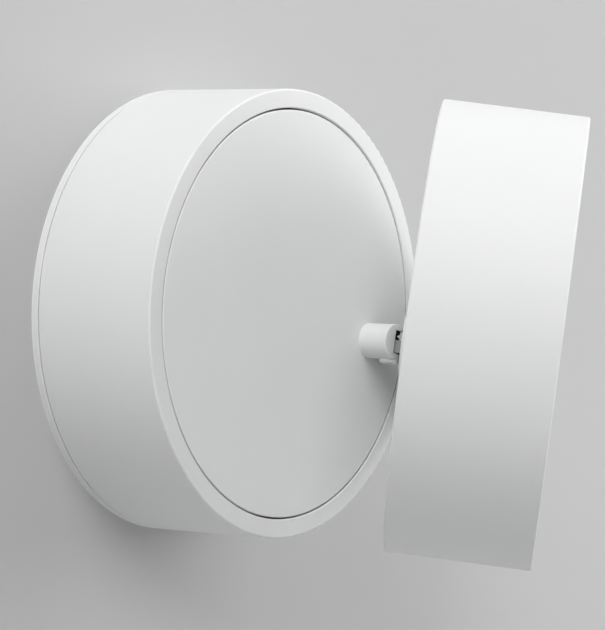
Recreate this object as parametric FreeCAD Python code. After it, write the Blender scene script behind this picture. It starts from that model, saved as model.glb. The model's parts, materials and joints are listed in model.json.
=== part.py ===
import FreeCAD, Part
import math
import os

from FreeCAD import Vector

# A pivoting spotlight for a wall, in millimetres.
#
# The pieces are drawn in the lamp's own frame: X to the right, Y up, Z out of
# the wall, with the wall at Z = 0. There the arm points right and the head is
# closed, parallel to the base. Each piece is then turned to its place at rest,
# and last into the part's frame, where the wall is Y = 0, the lamp stands out
# to -Y and Z is up.

# ---------------------------------------------------------------- drums
drum_diameter = 125.0
base_depth = 40.8
head_depth = 40.4
side_wall = 2.5
rim_width = 5.3
outer_edge_round = 0.6
inner_edge_round = 0.3

# ---------------------------------------------------------------- pose at rest
arm_angle = -13.6
head_tilt = 32.4
swivel_half_range = 165.0

# ---------------------------------------------------------------- fits
running_gap = 0.08
thread_gap = 0.02
face_gap = 0.03

# ---------------------------------------------------------------- wall plate
plate_thickness = 2.0
shadow_gap = 0.4
shadow_depth = 0.8
spigot_wall = 3.8
spigot_height = 6.0
spigot_gap = 0.2
hook_width = 8.0
hook_height = 2.0
hook_reach = 1.4
hook_gap = 0.3
wall_slot_spacing = 80.0
wall_slot_length = 10.0
wall_slot_width = 4.4
cable_hole_diameter = 14.0
cable_bore_diameter = 7.0
grommet_flange = 2.5
grommet_flange_thickness = 1.5
grommet_back_gap = 0.3

# ---------------------------------------------------------------- set screws of the base drum
grub_diameter = 3.0
grub_inset = 0.5
grub_socket = 1.5
grub_socket_depth = 1.2
grub_angles = (-40.0, 40.0)

# ---------------------------------------------------------------- bearing web
web_thickness = 3.0
web_recess = 16.8
glide_thickness = 1.0
glide_diameter = 28.0

# ---------------------------------------------------------------- swivel disc
disc_gap = 0.5
disc_recess = 0.1
disc_thickness = 4.0

# ---------------------------------------------------------------- spindle
spindle_diameter = 18.0
spindle_bore = 12.0
collar_diameter = 28.0
flange_diameter = 39.0
flange_thickness = 3.0
spindle_tail = 0.6
lead_notch_width = 4.4
spring_thickness = 0.6
spring_rise = 0.3
spring_diameter = 30.0
hub_washer_thickness = 1.2
hub_nut_thickness = 4.9
hub_nut_flats = 26.0
spindle_screw_count = 3
spindle_screw_circle = 33.4
spindle_screw_diameter = 2.4
spindle_screw_head = 4.2
spindle_screw_head_height = 1.6
spindle_screw_grip = 2.6

# ---------------------------------------------------------------- swivel stop
stop_circle = 48.0
stop_pin_diameter = 3.0
stop_pin_angle = 12.0
stop_pin_seat = 2.4
stop_lug_height = 2.4
stop_lug_width = 6.0
stop_pin_web_gap = 0.7
stop_clearance = 0.4

# ---------------------------------------------------------------- arm and tilt joint
arm_inset = 23.3
arm_diameter = 10.0
arm_length = 9.3
arm_thread = 8.0
arm_tail = 0.5
arm_bore = 4.6
arm_nut_thickness = 3.0
arm_nut_flats = 13.0
arm_washer_thickness = 0.5
arm_washer_diameter = 15.0
pivot_offset = 2.0
pivot_height = 6.45
pivot_diameter = 2.5
pivot_head_diameter = 5.6
pivot_head_height = 1.8
pivot_head_round = 0.7
pivot_head_sink = 0.7
pivot_tip_inset = 0.8
pivot_socket_flats = 2.5
pivot_socket_depth = 1.1
tongue_thickness = 3.6
tongue_eye_diameter = 4.4
tongue_bore = 2.6
tongue_bore_floor = 2.0
friction_washer_thickness = 0.3
tilt_spring_thickness = 0.75
tilt_spring_rise = 0.6
slot_clearance = 0.2
knuckle_clearance = 0.3

# ---------------------------------------------------------------- head
head_standoff = 7.55
head_back_wall = 3.5
boss_diameter = 18.0
boss_spigot_diameter = 6.0
boss_spigot_depth = 1.6
boss_screw_spacing = 12.5
boss_screw_diameter = 2.5
boss_screw_head = 4.6
boss_screw_head_height = 1.7
boss_screw_grip = 3.2
small_screw_diameter = 2.9
small_screw_head = 5.4
small_screw_head_height = 2.0
pillar_inset = 6.0
pillar_diameter = 8.0
pillar_angles = (90.0, 210.0, 330.0)
pillar_screw_depth = 6.0
sink_height = 13.5
sink_plate_inset = 17.2
sink_plate_thickness = 3.0
sink_fin_inset = 13.0
sink_fin_thickness = 1.4
sink_fin_count = 9
sink_fin_height = 11.5
sink_lead_inset = 8.2
sink_lead_hole = 4.4
led_board_diameter = 36.0
led_board_thickness = 1.6
emitter_side = 13.0
emitter_thickness = 1.0
phosphor_diameter = 10.5
phosphor_thickness = 0.4
holder_thickness = 3.4
holder_window = 12.4
holder_screw_spacing = 27.0
holder_screw_diameter = 2.0
holder_screw_head = 3.8
holder_screw_head_height = 1.3
reflector_mouth = 13.6
reflector_wall = 1.2
reflector_flange = 3.6
lens_recess = 1.4
lens_thickness = 2.5
lens_gap = 0.3
bezel_width = 2.5
bezel_thickness = 1.0
gasket_thickness = 1.0
lens_ledge = 2.2
gasket_overhang = 1.4

# ---------------------------------------------------------------- driver and terminals
driver_length = 66.0
driver_width = 26.0
driver_height = 15.0
driver_top_edge = -17.0
driver_wall = 1.5
driver_lid_thickness = 1.5
driver_lid_lip = 1.2
driver_ear_place = 24.0
driver_ear_width = 8.0
driver_ear_reach = 5.5
driver_ear_thickness = 2.0
driver_board_margin = 1.0
driver_board_thickness = 1.4
driver_post_diameter = 4.0
driver_post_height = 2.5
transformer_size = (15.0, 13.0, 7.6)
transformer_place = 3.0
capacitor_diameter = 8.0
capacitor_height = 7.6
capacitor_places = (-20.5, -11.5)
choke_place = 18.0
choke_diameter = 8.0
choke_bore = 3.2
choke_height = 4.0
chip_size = (4.0, 5.0, 1.6)
chip_place = -27.4
terminal_length = 30.0
terminal_width = 17.0
terminal_height = 14.0
terminal_low_edge = 18.5
terminal_pitch = 10.0
terminal_bore_height = 7.0
clamp_diameter = 5.2
clamp_bore = 3.4
clamp_inset = 1.5
clamp_screw_diameter = 3.0
clamp_screw_spacing = 8.0
clamp_screw_sink = 0.8
clamp_screw_slot_depth = 1.0
terminal_fixing_diameter = 2.4
terminal_fixing_head = 4.0
terminal_fixing_head_height = 1.4
screw_slot = 0.7
screw_slot_share = 0.7
earth_place = (-28.0, 9.0)
earth_screw_diameter = 3.8
earth_screw_head = 7.0
earth_screw_head_height = 2.4
earth_tag_diameter = 8.4
earth_tag_thickness = 0.8
earth_barrel_diameter = 4.2
earth_barrel_bore = 2.4
earth_barrel_length = 6.0
earth_barrel_floor = 1.0
earth_barrel_overlap = 0.6

# ---------------------------------------------------------------- leads
mains_lead_diameter = 2.2
lamp_lead_diameter = 2.4
lead_run_rise = 4.3
lead_split_rise = 1.58
lead_split_gap = 0.2
lead_bend_share = 0.45
lead_driver_place = 18.0
lead_clamp_depth = 3.0
lead_board_reach = 2.0
head_lead_rise = 8.0
head_lead_drop = 1.5

# ---------------------------------------------------------------- sizes that follow
drum_radius = drum_diameter / 2
inner_radius = drum_radius - side_wall
mouth_radius = drum_radius - rim_width
housing_back = plate_thickness + shadow_gap
grub_height = housing_back + spigot_height / 2
web_top = base_depth - web_recess
web_bottom = web_top - web_thickness
disc_radius = mouth_radius - disc_gap
disc_front = base_depth - disc_recess
disc_back = disc_front - disc_thickness
spindle_radius = spindle_diameter / 2
collar_bottom = web_top + glide_thickness + running_gap
flange_bottom = disc_back - flange_thickness
glide_bottom = web_bottom - glide_thickness
spring_top = glide_bottom - running_gap
spring_stack = 2 * (spring_thickness + spring_rise)
hub_washer_top = spring_top - spring_stack
hub_nut_top = hub_washer_top - hub_washer_thickness
hub_nut_bottom = hub_nut_top - hub_nut_thickness
spindle_bottom = hub_nut_bottom - spindle_tail
lead_split_height = spindle_bottom + lead_split_rise
lead_run_height = web_top + lead_run_rise
arm_radius = drum_radius - arm_inset
arm_top = disc_front + arm_length
arm_nut_bottom = disc_back - arm_washer_thickness - arm_nut_thickness
arm_bottom = arm_nut_bottom - arm_tail
pivot_x = arm_radius + pivot_offset
pivot_z = disc_front + pivot_height
pivot_head_seat = arm_diameter / 2 - pivot_head_sink
pivot_screw_end = arm_diameter / 2 - pivot_tip_inset
tilt_spring_stack = 2 * (tilt_spring_thickness + tilt_spring_rise)
slot_width = tongue_thickness + friction_washer_thickness + tilt_spring_stack + 4 * face_gap
slot_floor = pivot_z - tongue_eye_diameter / 2 - slot_clearance
slot_side = pivot_x - tongue_eye_diameter / 2 - slot_clearance
tongue_low = -slot_width / 2 + friction_washer_thickness + 2 * face_gap
tongue_high = tongue_low + tongue_thickness
tongue_middle = (tongue_low + tongue_high) / 2
arm_over_pivot = arm_top - pivot_z
boss_face = pivot_z + arm_over_pivot + knuckle_clearance
head_back = pivot_z + head_standoff
head_front = head_back + head_depth
head_floor = head_back + head_back_wall
sink_back = head_floor + sink_height
sink_front = sink_back + sink_plate_thickness
sink_lead_place = pivot_x - sink_lead_inset
sink_radius = mouth_radius - sink_plate_inset
pillar_circle = 2 * (sink_radius - pillar_inset)
sink_fin_circle = 2 * (sink_radius - sink_fin_inset)
board_front = sink_front + led_board_thickness
holder_front = board_front + holder_thickness
lens_front = head_front - lens_recess
lens_back = lens_front - lens_thickness
ledge_height = lens_back - gasket_thickness
ledge_radius = mouth_radius - lens_ledge
driver_low_edge = driver_top_edge - driver_width
driver_lid_bottom = plate_thickness + driver_height
driver_board_bottom = plate_thickness + driver_wall + driver_post_height
driver_board_top = driver_board_bottom + driver_board_thickness
terminal_top = plate_thickness + terminal_height
terminal_high_edge = terminal_low_edge + terminal_width
terminal_bore_z = plate_thickness + terminal_bore_height
mains_lead_radius = mains_lead_diameter / 2
lamp_lead_radius = lamp_lead_diameter / 2
driver_mains_height = driver_board_top + mains_lead_radius + face_gap
driver_lamp_height = driver_board_bottom - lamp_lead_radius + mains_lead_radius

ACROSS = Vector(1, 0, 0)
UP = Vector(0, 1, 0)
OUT = Vector(0, 0, 1)
ORIGIN = Vector(0, 0, 0)
CUT_MARGIN = 1.0


# ---------------------------------------------------------------- plain shapes
def rod(radius, low, high, x=0.0, y=0.0):
    """A round bar that stands out of the wall."""
    return Part.makeCylinder(radius, high - low, Vector(x, y, low), OUT)


def hole(radius, low, high, x=0.0, y=0.0):
    """The bar that drills a hole from low to high, past both faces."""
    return rod(radius, low - CUT_MARGIN, high + CUT_MARGIN, x, y)


def ring(outer, inner, low, high, x=0.0, y=0.0):
    return rod(outer, low, high, x, y).cut(hole(inner, low, high, x, y))


def block(x_span, y_span, z_span):
    corner = Vector(x_span[0], y_span[0], z_span[0])
    return Part.makeBox(x_span[1] - x_span[0], y_span[1] - y_span[0], z_span[1] - z_span[0], corner)


def middle_span(centre, length):
    return (centre - length / 2, centre + length / 2)


def turned(profile):
    """A solid of revolution about Z from a closed outline of (radius, height) points."""
    points = [Vector(radius, 0, height) for radius, height in profile]
    outline = Part.makePolygon(points + [points[0]])
    return Part.Face(outline).revolve(ORIGIN, OUT, 360)


def hexagon_bar(flats, low, high, x=0.0, y=0.0):
    corner = flats / 2 / math.cos(math.pi / 6)
    points = []
    for step in range(7):
        angle = math.pi / 6 + step * math.pi / 3
        points.append(Vector(x + corner * math.cos(angle), y + corner * math.sin(angle), low))
    return Part.Face(Part.makePolygon(points)).extrude(Vector(0, 0, high - low))


def on_circle(diameter, degrees):
    angle = math.radians(degrees)
    return (diameter / 2 * math.cos(angle), diameter / 2 * math.sin(angle))


def turned_by(shape, degrees):
    turned_shape = shape.copy()
    turned_shape.rotate(ORIGIN, OUT, degrees)
    return turned_shape


def rounded_rims(shape, radius, height, rounding):
    """Rounds the circular edges of the given radius at the given height."""
    edges = []
    for edge in shape.Edges:
        curve = edge.Curve
        if not isinstance(curve, Part.Circle):
            continue
        same_radius = abs(curve.Radius - radius) < 0.001
        same_height = abs(curve.Center.z - height) < 0.001
        if same_radius and same_height:
            edges.append(edge)
    return shape.makeFillet(rounding, edges)


def screw(shank, head, head_height, seat, tip, x, y, downwards=True):
    """A pan-head screw with a cross-slot; seat is where its head bears, tip is its end."""
    if downwards:
        head_top = seat + head_height
        body = rod(shank / 2, tip, seat, x, y).fuse(rod(head / 2, seat, head_top, x, y))
        slot_span = (head_top - head_height / 2, head_top + CUT_MARGIN)
    else:
        head_top = seat - head_height
        body = rod(shank / 2, seat, tip, x, y).fuse(rod(head / 2, head_top, seat, x, y))
        slot_span = (head_top - CUT_MARGIN, head_top + head_height / 2)
    slot_length = head * screw_slot_share
    slot_x = block(middle_span(x, slot_length), middle_span(y, screw_slot), slot_span)
    slot_y = block(middle_span(x, screw_slot), middle_span(y, slot_length), slot_span)
    return body.cut(slot_x).cut(slot_y)


# ---------------------------------------------------------------- leads
def bent_path(points):
    """Straight runs joined by tangent arcs, each as large as its two runs allow."""
    edges = []
    radii = []
    start = points[0]
    for before, corner, after in zip(points, points[1:], points[2:]):
        arriving = (corner - before).normalize()
        leaving = (after - corner).normalize()
        shorter = min((corner - before).Length, (after - corner).Length)
        half_turn = arriving.getAngle(leaving) / 2
        setback = lead_bend_share * shorter
        radius = setback / math.tan(half_turn)
        inwards = (leaving - arriving).normalize()
        arc_start = corner - arriving * setback
        arc_end = corner + leaving * setback
        arc_middle = corner + inwards * (radius / math.cos(half_turn) - radius)
        edges.append(Part.LineSegment(start, arc_start).toShape())
        edges.append(Part.Arc(arc_start, arc_middle, arc_end).toShape())
        radii.append(round(radius, 1))
        start = arc_end
    edges.append(Part.LineSegment(start, points[-1]).toShape())
    return Part.Wire(edges), radii


def lead(name, diameter, points):
    """One lead as a round tube along its route."""
    places = [Vector(*point) for point in points]
    path, radii = bent_path(places)
    direction = places[1] - places[0]
    section = Part.Wire(Part.makeCircle(diameter / 2, places[0], direction))
    solid = path.makePipeShell([section], True, False)
    share = solid.Volume / (math.pi * diameter ** 2 / 4 * path.Length)
    print(name, "length", round(path.Length, 1), "bend radii", radii, "volume share", round(share, 4))
    return solid


# ---------------------------------------------------------------- base on the wall
def wall_plate():
    spigot_outer = inner_radius - spigot_gap
    spigot_inner = spigot_outer - spigot_wall
    step_radius = drum_radius - shadow_depth
    plate = rod(drum_radius, 0, plate_thickness)
    plate = plate.fuse(ring(step_radius, spigot_inner, plate_thickness, housing_back))
    plate = plate.fuse(ring(spigot_outer, spigot_inner, plate_thickness, housing_back + spigot_height))
    plate = plate.fuse(hook(0))
    for x, y, radius in plate_holes():
        plate = plate.cut(hole(radius, 0, plate_thickness, x, y))
    for side in (-1, 1):
        plate = plate.cut(wall_slot(side * wall_slot_spacing / 2))
    return rounded_rims(plate.removeSplitter(), drum_radius, plate_thickness, inner_edge_round)


def hook(clearance):
    """The lug that holds one side of the drum; with a clearance, its pocket in the drum."""
    spigot_outer = inner_radius - spigot_gap
    reach = spigot_outer + hook_reach + clearance
    centre = housing_back + spigot_height / 2
    x_span = (-reach, -spigot_outer + CUT_MARGIN)
    return block(
        x_span,
        middle_span(0, hook_width + 2 * clearance),
        middle_span(centre, hook_height + 2 * clearance),
    )


def plate_holes():
    """Centre and radius of every round hole in the wall plate."""
    holes = [(0, 0, cable_hole_diameter / 2)]
    for x, y in driver_screw_places():
        holes.append((x, y, small_screw_diameter / 2 + thread_gap))
    for x, y in terminal_fixing_places():
        holes.append((x, y, terminal_fixing_diameter / 2 + thread_gap))
    holes.append((*earth_place, earth_screw_diameter / 2 + thread_gap))
    return holes


def wall_slot(x):
    radius = wall_slot_width / 2
    half = wall_slot_length / 2 - radius
    slot = block(
        (x - half, x + half),
        (-radius, radius),
        (-CUT_MARGIN, plate_thickness + CUT_MARGIN),
    )
    for end in (x - half, x + half):
        slot = slot.fuse(hole(radius, 0, plate_thickness, end))
    return slot


def cable_grommet():
    barrel_radius = cable_hole_diameter / 2 - thread_gap
    flange_radius = barrel_radius + grommet_flange
    top = plate_thickness + grommet_flange_thickness
    body = rod(barrel_radius, grommet_back_gap, plate_thickness)
    body = body.fuse(rod(flange_radius, plate_thickness, top))
    body = body.cut(hole(cable_bore_diameter / 2, 0, top))
    return rounded_rims(body, flange_radius, top, grommet_flange_thickness / 2)


def base_housing():
    bore = spindle_radius + running_gap
    profile = [
        (drum_radius, housing_back),
        (drum_radius, base_depth),
        (mouth_radius, base_depth),
        (mouth_radius, web_top),
        (bore, web_top),
        (bore, web_bottom),
        (inner_radius, web_bottom),
        (inner_radius, housing_back),
    ]
    drum = turned(profile)
    drum = rounded_rims(drum, drum_radius, base_depth, outer_edge_round)
    drum = rounded_rims(drum, mouth_radius, base_depth, inner_edge_round)
    drum = rounded_rims(drum, drum_radius, housing_back, inner_edge_round)
    drum = drum.cut(hook(hook_gap))
    for angle in grub_angles:
        drum = drum.cut(radial_rod(grub_diameter / 2 + thread_gap, inner_radius - CUT_MARGIN,
                                   drum_radius + CUT_MARGIN, grub_height, angle))
    return drum.fuse(stop_lug()).removeSplitter()


def radial_rod(radius, near, far, height, degrees):
    bar = Part.makeCylinder(radius, far - near, Vector(near, 0, height), ACROSS)
    return turned_by(bar, degrees)


def stop_lug():
    """Sector on the web that the stop pin meets at both ends of the swivel's travel."""
    pin_half_angle = math.degrees(math.asin(stop_pin_diameter / stop_circle))
    half_angle = 180.0 - swivel_half_range - pin_half_angle - stop_clearance
    outer = stop_circle / 2 + stop_lug_width / 2
    inner = stop_circle / 2 - stop_lug_width / 2
    place = Vector(0, 0, web_top)
    sector = Part.makeCylinder(outer, stop_lug_height, place, OUT, 2 * half_angle)
    sector = sector.cut(rod(inner, web_top - CUT_MARGIN, web_top + stop_lug_height + CUT_MARGIN))
    return turned_by(sector, 180.0 + stop_pin_angle - half_angle)


def housing_grub_screws():
    tip = inner_radius - spigot_gap
    end = drum_radius - grub_inset
    screws = []
    for angle in grub_angles:
        body = radial_rod(grub_diameter / 2, tip, end, grub_height, angle)
        socket = radial_rod(grub_socket / 2, end - grub_socket_depth, end + CUT_MARGIN, grub_height, angle)
        screws.append(body.cut(socket))
    return screws


def glide_washers():
    outer = glide_diameter / 2
    inner = spindle_radius + 4 * running_gap
    upper = ring(outer, inner, web_top, web_top + glide_thickness)
    lower = ring(outer, inner, glide_bottom, web_bottom)
    return [upper, lower]


# ---------------------------------------------------------------- driver
def driver_screw_places():
    y = driver_top_edge + driver_ear_reach / 2
    return [(-driver_ear_place, y), (driver_ear_place, y)]


def driver_post_places():
    x = driver_length / 2 - driver_wall - driver_post_diameter / 2
    y_inset = driver_wall + driver_post_diameter / 2
    return [(side * x, y) for side in (-1, 1)
            for y in (driver_low_edge + y_inset, driver_top_edge - y_inset)]


def driver_case():
    x_span = middle_span(0, driver_length)
    y_span = (driver_low_edge, driver_top_edge)
    case = block(x_span, y_span, (plate_thickness, driver_lid_bottom))
    room = block(
        (x_span[0] + driver_wall, x_span[1] - driver_wall),
        (y_span[0] + driver_wall, y_span[1] - driver_wall),
        (plate_thickness + driver_wall, driver_lid_bottom + CUT_MARGIN),
    )
    case = case.cut(room)
    for x, y in driver_post_places():
        case = case.fuse(rod(driver_post_diameter / 2, plate_thickness + driver_wall, driver_board_bottom, x, y))
    ear_top = plate_thickness + driver_ear_thickness
    for x, y in driver_screw_places():
        ear = block(
            middle_span(x, driver_ear_width),
            (driver_top_edge - driver_wall / 2, driver_top_edge + driver_ear_reach),
            (plate_thickness, ear_top),
        )
        screw_hole = hole(small_screw_diameter / 2 + running_gap, plate_thickness, ear_top, x, y)
        case = case.fuse(ear.cut(screw_hole))
    for radius, x, z in driver_lead_holes():
        start = Vector(x, driver_top_edge - driver_wall - CUT_MARGIN, z)
        case = case.cut(Part.makeCylinder(radius, driver_wall + 2 * CUT_MARGIN, start, UP))
    return case.removeSplitter()


def driver_lead_holes():
    mains_radius = mains_lead_radius + face_gap
    lamp_radius = lamp_lead_radius + face_gap
    return [
        (mains_radius, -lead_driver_place, driver_mains_height),
        (mains_radius, lead_driver_place, driver_mains_height),
        (lamp_radius, 0, driver_lamp_height),
    ]


def driver_lid():
    x_span = middle_span(0, driver_length)
    y_span = (driver_low_edge, driver_top_edge)
    lid = block(x_span, y_span, (driver_lid_bottom, driver_lid_bottom + driver_lid_thickness))
    inset = driver_wall + face_gap
    lip_outer = block(
        (x_span[0] + inset, x_span[1] - inset),
        (y_span[0] + inset, y_span[1] - inset),
        (driver_lid_bottom - driver_lid_lip, driver_lid_bottom),
    )
    lip_inner = block(
        (x_span[0] + inset + driver_wall, x_span[1] - inset - driver_wall),
        (y_span[0] + inset + driver_wall, y_span[1] - inset - driver_wall),
        (driver_lid_bottom - driver_lid_lip - CUT_MARGIN, driver_lid_bottom),
    )
    return lid.fuse(lip_outer.cut(lip_inner)).removeSplitter()


def driver_middle():
    return (driver_low_edge + driver_top_edge) / 2


def driver_board():
    margin = driver_wall + driver_board_margin
    board = block(
        middle_span(0, driver_length - 2 * margin),
        (driver_low_edge + margin, driver_top_edge - margin),
        (driver_board_bottom, driver_board_top),
    )
    choke = ring(choke_diameter / 2, choke_bore / 2, driver_board_top, driver_board_top + choke_height,
                 choke_place, driver_middle())
    length, width, height = chip_size
    chip = block(middle_span(chip_place, length), middle_span(driver_middle(), width),
                 (driver_board_top, driver_board_top + height))
    return board.fuse(choke).fuse(chip)


def driver_transformer():
    """A ferrite core round its bobbin; the two windows stay open."""
    length, width, height = transformer_size
    z_span = (driver_board_top, driver_board_top + height)
    core = block(middle_span(transformer_place, length), middle_span(driver_middle(), width), z_span)
    for side in (-1, 1):
        window = block(middle_span(transformer_place + side * length / 4, length / 6),
                       middle_span(driver_middle(), width + 2 * CUT_MARGIN),
                       (z_span[0] + height / 4, z_span[1] - height / 4))
        core = core.cut(window)
    return core


def driver_capacitors():
    top = driver_board_top + capacitor_height
    cans = []
    for x in capacitor_places:
        can = rod(capacitor_diameter / 2, driver_board_top, top, x, driver_middle())
        cans.append(rounded_rims(can, capacitor_diameter / 2, top, inner_edge_round))
    return cans


def driver_screws():
    seat = plate_thickness + driver_ear_thickness
    return [screw(small_screw_diameter, small_screw_head, small_screw_head_height, seat,
                  grommet_back_gap, x, y) for x, y in driver_screw_places()]


# ---------------------------------------------------------------- mains terminals and earth
def pole_places():
    return [step * terminal_pitch for step in (-1, 0, 1)]


def clamp_screw_places():
    middle = (terminal_low_edge + terminal_high_edge) / 2
    half = clamp_screw_spacing / 2
    return [(x, middle + side * half) for x in pole_places() for side in (-1, 1)]


def terminal_fixing_places():
    middle = (terminal_low_edge + terminal_high_edge) / 2
    return [(-terminal_pitch / 2, middle), (terminal_pitch / 2, middle)]


def along_poles(radius, inset, x):
    """A bar along one pole of the terminal block; a negative inset runs past its ends."""
    start = Vector(x, terminal_low_edge + inset, terminal_bore_z)
    return Part.makeCylinder(radius, terminal_width - 2 * inset, start, UP)


def terminal_block():
    body = block(
        middle_span(0, terminal_length),
        (terminal_low_edge, terminal_high_edge),
        (plate_thickness, terminal_top),
    )
    for x in pole_places():
        body = body.cut(along_poles(clamp_diameter / 2 + face_gap, -CUT_MARGIN, x))
    for x, y in clamp_screw_places():
        body = body.cut(hole(clamp_screw_diameter / 2 + face_gap, terminal_bore_z, terminal_top, x, y))
    seat = plate_thickness + terminal_height / 2
    for x, y in terminal_fixing_places():
        body = body.cut(hole(terminal_fixing_diameter / 2 + face_gap, plate_thickness, terminal_top, x, y))
        body = body.cut(rod(terminal_fixing_head / 2 + face_gap, seat, terminal_top + CUT_MARGIN, x, y))
    return body.removeSplitter()


def terminal_clamps():
    clamps = []
    for pole in pole_places():
        tube = along_poles(clamp_diameter / 2, clamp_inset, pole)
        tube = tube.cut(along_poles(clamp_bore / 2, -CUT_MARGIN, pole))
        for x, y in clamp_screw_places():
            if x == pole:
                tube = tube.cut(hole(clamp_screw_diameter / 2 + face_gap, terminal_bore_z + clamp_bore / 2,
                                     terminal_top, x, y))
        clamps.append(tube)
    return clamps


def terminal_screws():
    top = terminal_top - clamp_screw_sink
    tip = terminal_bore_z + mains_lead_radius
    radius = clamp_screw_diameter / 2
    screws = []
    for x, y in clamp_screw_places():
        slot = block(middle_span(x, clamp_screw_diameter + CUT_MARGIN), middle_span(y, screw_slot),
                     (top - clamp_screw_slot_depth, top + CUT_MARGIN))
        screws.append(rod(radius, tip, top, x, y).cut(slot))
    return screws


def terminal_fixings():
    seat = plate_thickness + terminal_height / 2
    return [screw(terminal_fixing_diameter, terminal_fixing_head, terminal_fixing_head_height, seat,
                  grommet_back_gap, x, y) for x, y in terminal_fixing_places()]


def earth_barrel_start():
    return earth_place[0] + earth_tag_diameter / 2 - earth_barrel_overlap


def earth_barrel_height():
    return plate_thickness + earth_barrel_diameter / 2


def earth_tag():
    top = plate_thickness + earth_tag_thickness
    eye = rod(earth_tag_diameter / 2, plate_thickness, top, *earth_place)
    eye = eye.cut(hole(earth_screw_diameter / 2 + running_gap, plate_thickness, top, *earth_place))
    start = Vector(earth_barrel_start(), earth_place[1], earth_barrel_height())
    barrel = Part.makeCylinder(earth_barrel_diameter / 2, earth_barrel_length, start, ACROSS)
    inner_start = start + Vector(earth_barrel_floor, 0, 0)
    bore = Part.makeCylinder(earth_barrel_bore / 2, earth_barrel_length, inner_start, ACROSS)
    return eye.fuse(barrel).cut(bore)


def earth_screw():
    seat = plate_thickness + earth_tag_thickness
    return screw(earth_screw_diameter, earth_screw_head, earth_screw_head_height, seat,
                 grommet_back_gap, *earth_place)


# ---------------------------------------------------------------- inner leads of the base
def lead_live():
    start_y = terminal_low_edge + clamp_inset + lead_clamp_depth
    end_y = driver_top_edge - driver_wall - lead_board_reach
    middle_z = (terminal_bore_z + driver_mains_height) / 2
    return lead("lead_live", mains_lead_diameter, [
        (terminal_pitch, start_y, terminal_bore_z),
        (terminal_pitch, 8.0, middle_z),
        (lead_driver_place, -6.0, driver_mains_height),
        (lead_driver_place, end_y, driver_mains_height),
    ])


def lead_neutral():
    start_y = terminal_low_edge + clamp_inset + lead_clamp_depth
    end_y = driver_top_edge - driver_wall - lead_board_reach
    return lead("lead_neutral", mains_lead_diameter, [
        (0, start_y, terminal_bore_z),
        (-1.5, 11.0, terminal_bore_z - 0.6),
        (-11.5, 2.0, driver_mains_height - 0.6),
        (-lead_driver_place, -7.5, driver_mains_height),
        (-lead_driver_place, end_y, driver_mains_height),
    ])


def lead_earth():
    barrel_x = earth_barrel_start() + earth_barrel_floor + lead_split_gap
    clamp_y = terminal_low_edge + clamp_inset + lead_clamp_depth
    return lead("lead_earth", mains_lead_diameter, [
        (barrel_x, earth_place[1], earth_barrel_height()),
        (-14.0, earth_place[1], earth_barrel_height()),
        (-terminal_pitch, 12.6, terminal_bore_z - 0.8),
        (-terminal_pitch, clamp_y, terminal_bore_z),
    ])


def lead_lamp_base():
    """From the driver, under the spindle and up into its bore, where the swivel's lead goes on."""
    end_y = driver_top_edge - driver_wall
    return lead("lead_lamp_base", lamp_lead_diameter, [
        (0, end_y, driver_lamp_height),
        (0, -5.0, driver_lamp_height),
        (0, 0, driver_lamp_height + 3.0),
        (0, 0, lead_split_height - lead_split_gap / 2),
    ])


# ---------------------------------------------------------------- swivel disc
def spindle_screw_places():
    step = 360.0 / spindle_screw_count
    return [on_circle(spindle_screw_circle, 60.0 + step * number) for number in range(spindle_screw_count)]


def swivel_disc():
    disc = rod(disc_radius, disc_back, disc_front)
    disc = rounded_rims(disc, disc_radius, disc_front, inner_edge_round)
    disc = disc.cut(hole(arm_thread / 2 + thread_gap, disc_back, disc_front, arm_radius))
    for x, y in spindle_screw_places():
        disc = disc.cut(rod(spindle_screw_diameter / 2 + thread_gap, disc_back - CUT_MARGIN,
                            disc_back + spindle_screw_grip + face_gap, x, y))
    x, y = on_circle(stop_circle, stop_pin_angle)
    return disc.cut(rod(stop_pin_diameter / 2 + thread_gap, disc_back - CUT_MARGIN,
                        disc_back + stop_pin_seat + face_gap, x, y))


def hub_spindle():
    profile = [
        (spindle_bore / 2, spindle_bottom),
        (spindle_radius, spindle_bottom),
        (spindle_radius, collar_bottom),
        (collar_diameter / 2, collar_bottom),
        (collar_diameter / 2, flange_bottom),
        (flange_diameter / 2, flange_bottom),
        (flange_diameter / 2, disc_back),
        (spindle_bore / 2, disc_back),
    ]
    body = turned(profile)
    notch_low = lead_run_height - lamp_lead_radius - CUT_MARGIN
    notch = block((0, flange_diameter), middle_span(0, lead_notch_width), (notch_low, disc_back + CUT_MARGIN))
    body = body.cut(notch)
    for x, y in spindle_screw_places():
        body = body.cut(hole(spindle_screw_diameter / 2 + running_gap, flange_bottom, disc_back, x, y))
    return body


def spindle_screws():
    tip = disc_back + spindle_screw_grip
    return [screw(spindle_screw_diameter, spindle_screw_head, spindle_screw_head_height, flange_bottom,
                  tip, x, y, downwards=False) for x, y in spindle_screw_places()]


def spring_pair(outer, inner, thickness, rise, low):
    """Two coned washers, inner edge to inner edge, stacked upwards from low."""
    half = thickness + rise
    lower = [
        (outer, low),
        (outer, low + thickness),
        (inner, low + half),
        (inner, low + rise),
    ]
    upper = [(radius, 2 * (low + half) - height) for radius, height in lower]
    return [turned(lower), turned(upper)]


def disc_springs():
    """The springs that load the swivel's friction."""
    inner = spindle_radius + 2 * running_gap
    return spring_pair(spring_diameter / 2, inner, spring_thickness, spring_rise, hub_washer_top)


def hub_washer():
    return ring(glide_diameter / 2, spindle_radius + running_gap, hub_nut_top, hub_washer_top)


def hub_nut():
    nut = hexagon_bar(hub_nut_flats, hub_nut_bottom, hub_nut_top)
    return nut.cut(hole(spindle_radius + thread_gap, hub_nut_bottom, hub_nut_top))


def stop_pin():
    x, y = on_circle(stop_circle, stop_pin_angle)
    return rod(stop_pin_diameter / 2, web_top + stop_pin_web_gap, disc_back + stop_pin_seat, x, y)


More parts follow.
